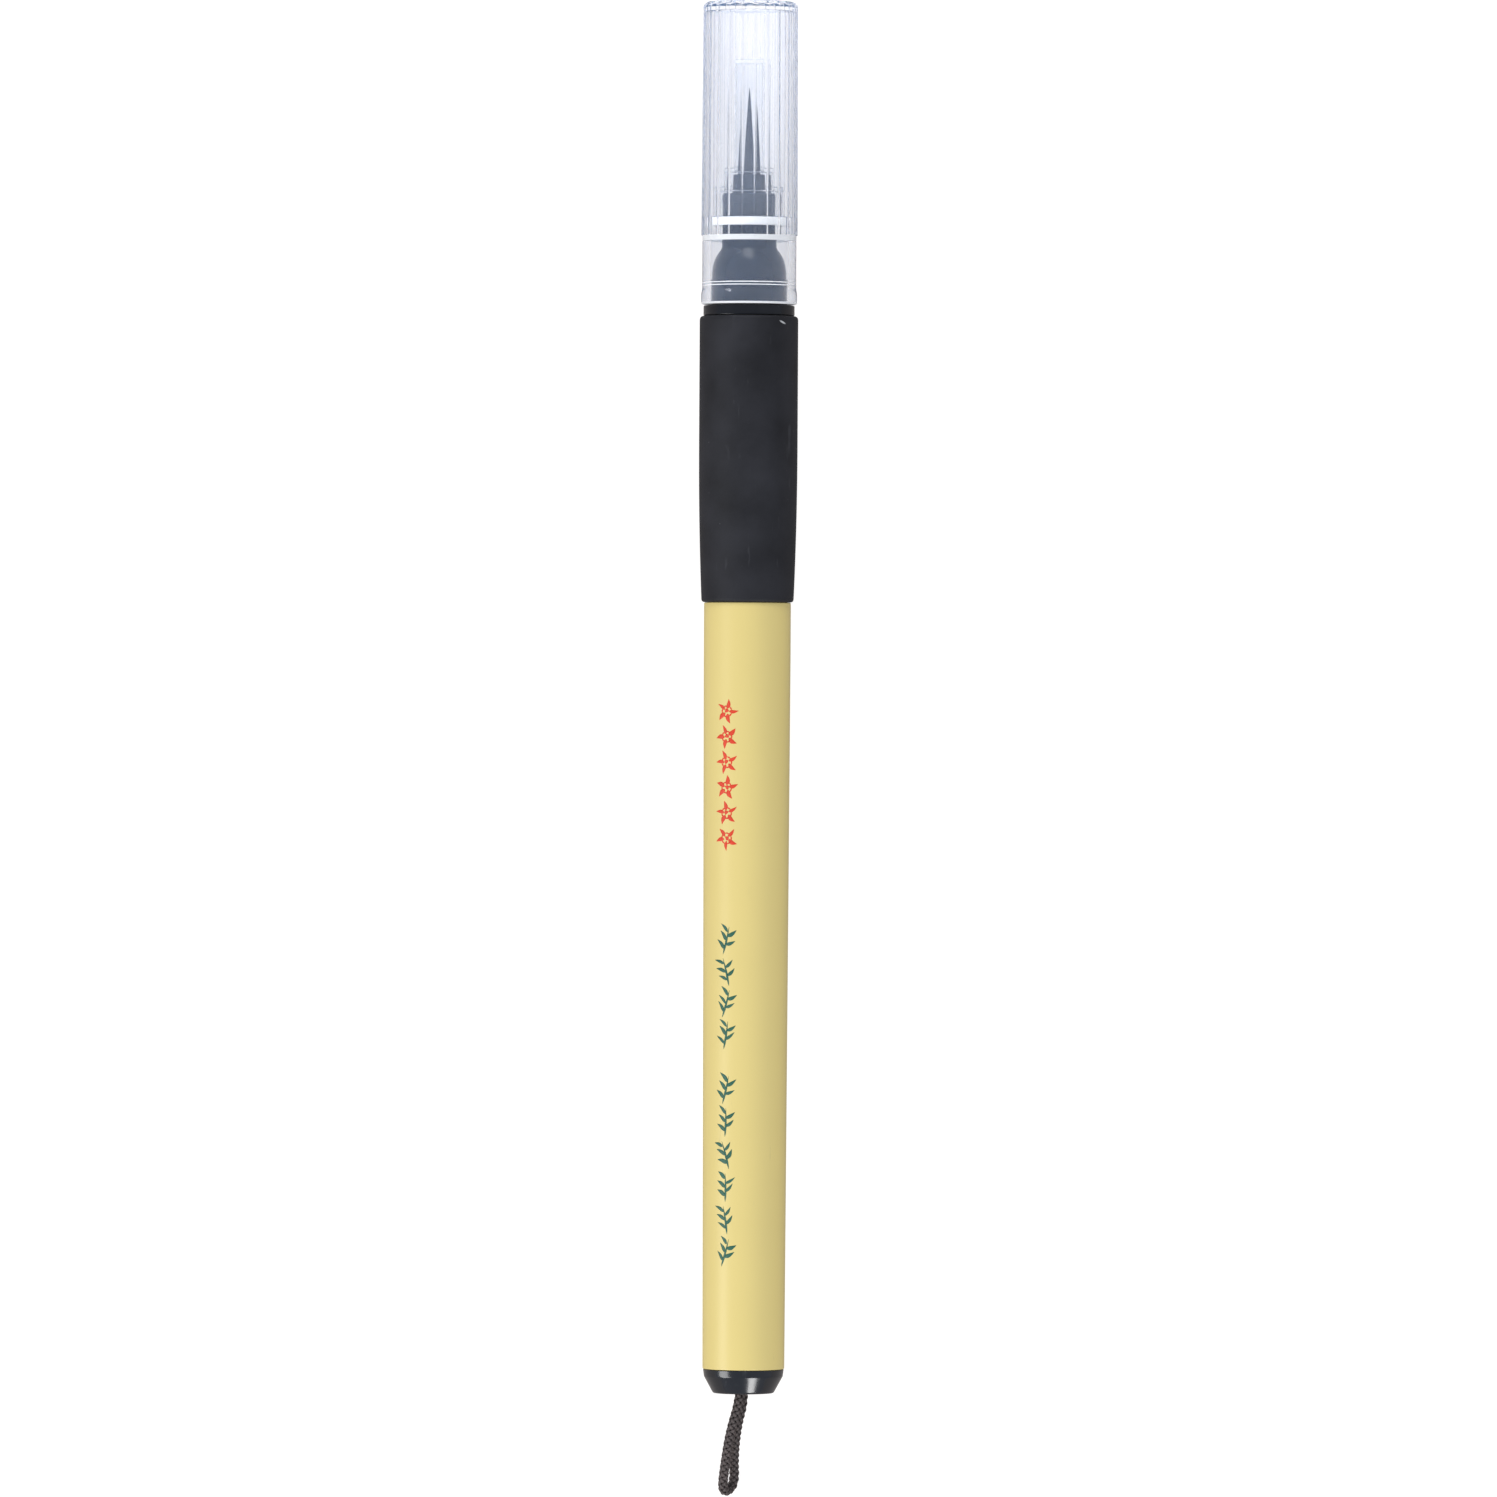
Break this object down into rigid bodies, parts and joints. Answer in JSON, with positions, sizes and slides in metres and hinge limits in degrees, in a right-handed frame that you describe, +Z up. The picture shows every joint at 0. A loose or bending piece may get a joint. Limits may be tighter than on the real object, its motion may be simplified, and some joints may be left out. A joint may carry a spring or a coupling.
{
  "type": "brush pen",
  "caption": "Capped brush pen with a slim pale barrel, a dark rubber grip, a clear fluted cap over a soft brush tip, and a short braided hanging loop at the tail.",
  "frame": {"origin": "on the desk under the middle of the pen's length, with the pen lying on its side", "axes": "+Y along the pen towards the cap's closed end, +Z up from the desk"},
  "size_m": [0.0119, 0.1803, 0.0119],
  "materials": {
    "barrel_beige": "satin moulded pale yellow plastic with small printed ornaments",
    "grip_rubber": "matt charcoal rubber, slightly dusty",
    "nose_black": "polished black plastic",
    "plug_black": "polished black plastic",
    "bristle": "ink-wetted fine synthetic hair",
    "binding_thread": "waxed white thread",
    "feed_fibre": "bonded fibre soaked with ink",
    "holder_plastic": "natural white plastic",
    "wadding_fibre": "fibre wadding soaked with ink",
    "clear_film": "clear plastic film",
    "cap_clear": "clear polished plastic with a faint blue cast",
    "cup_milky": "slightly milky clear plastic",
    "cord_braid": "fine round braid of dark brown thread"
  },
  "bodies": {
    "pen": {"barrel_tube": "barrel_beige", "grip_sleeve": "grip_rubber", "nose_section": "nose_black", "tip_collar": "nose_black", "tuft_ferrule": "nose_black", "bristle_tuft": "bristle", "root_binding": "binding_thread", "feed_rod": "feed_fibre", "feed_holder": "holder_plastic", "ink_wadding": "wadding_fibre", "wadding_film": "clear_film", "tail_plug": "plug_black", "cord_knot": "cord_braid"},
    "cap": {"cap_shell": "cap_clear", "cap_inner_cup": "cup_milky"},
    "loop": {"hang_loop": "cord_braid"}
  },
  "joints": [
    {"name": "cap_pull", "type": "slide", "parent": "pen", "child": "cap", "axis": [0, 1, 0], "range_m": [0, 0.045]},
    {"name": "loop_swing", "type": "hinge", "parent": "pen", "child": "loop", "pos_m": [0, -0.084, 0.00595], "axis": [0, 0, 1], "range_deg": [-40, 40]}
  ]
}
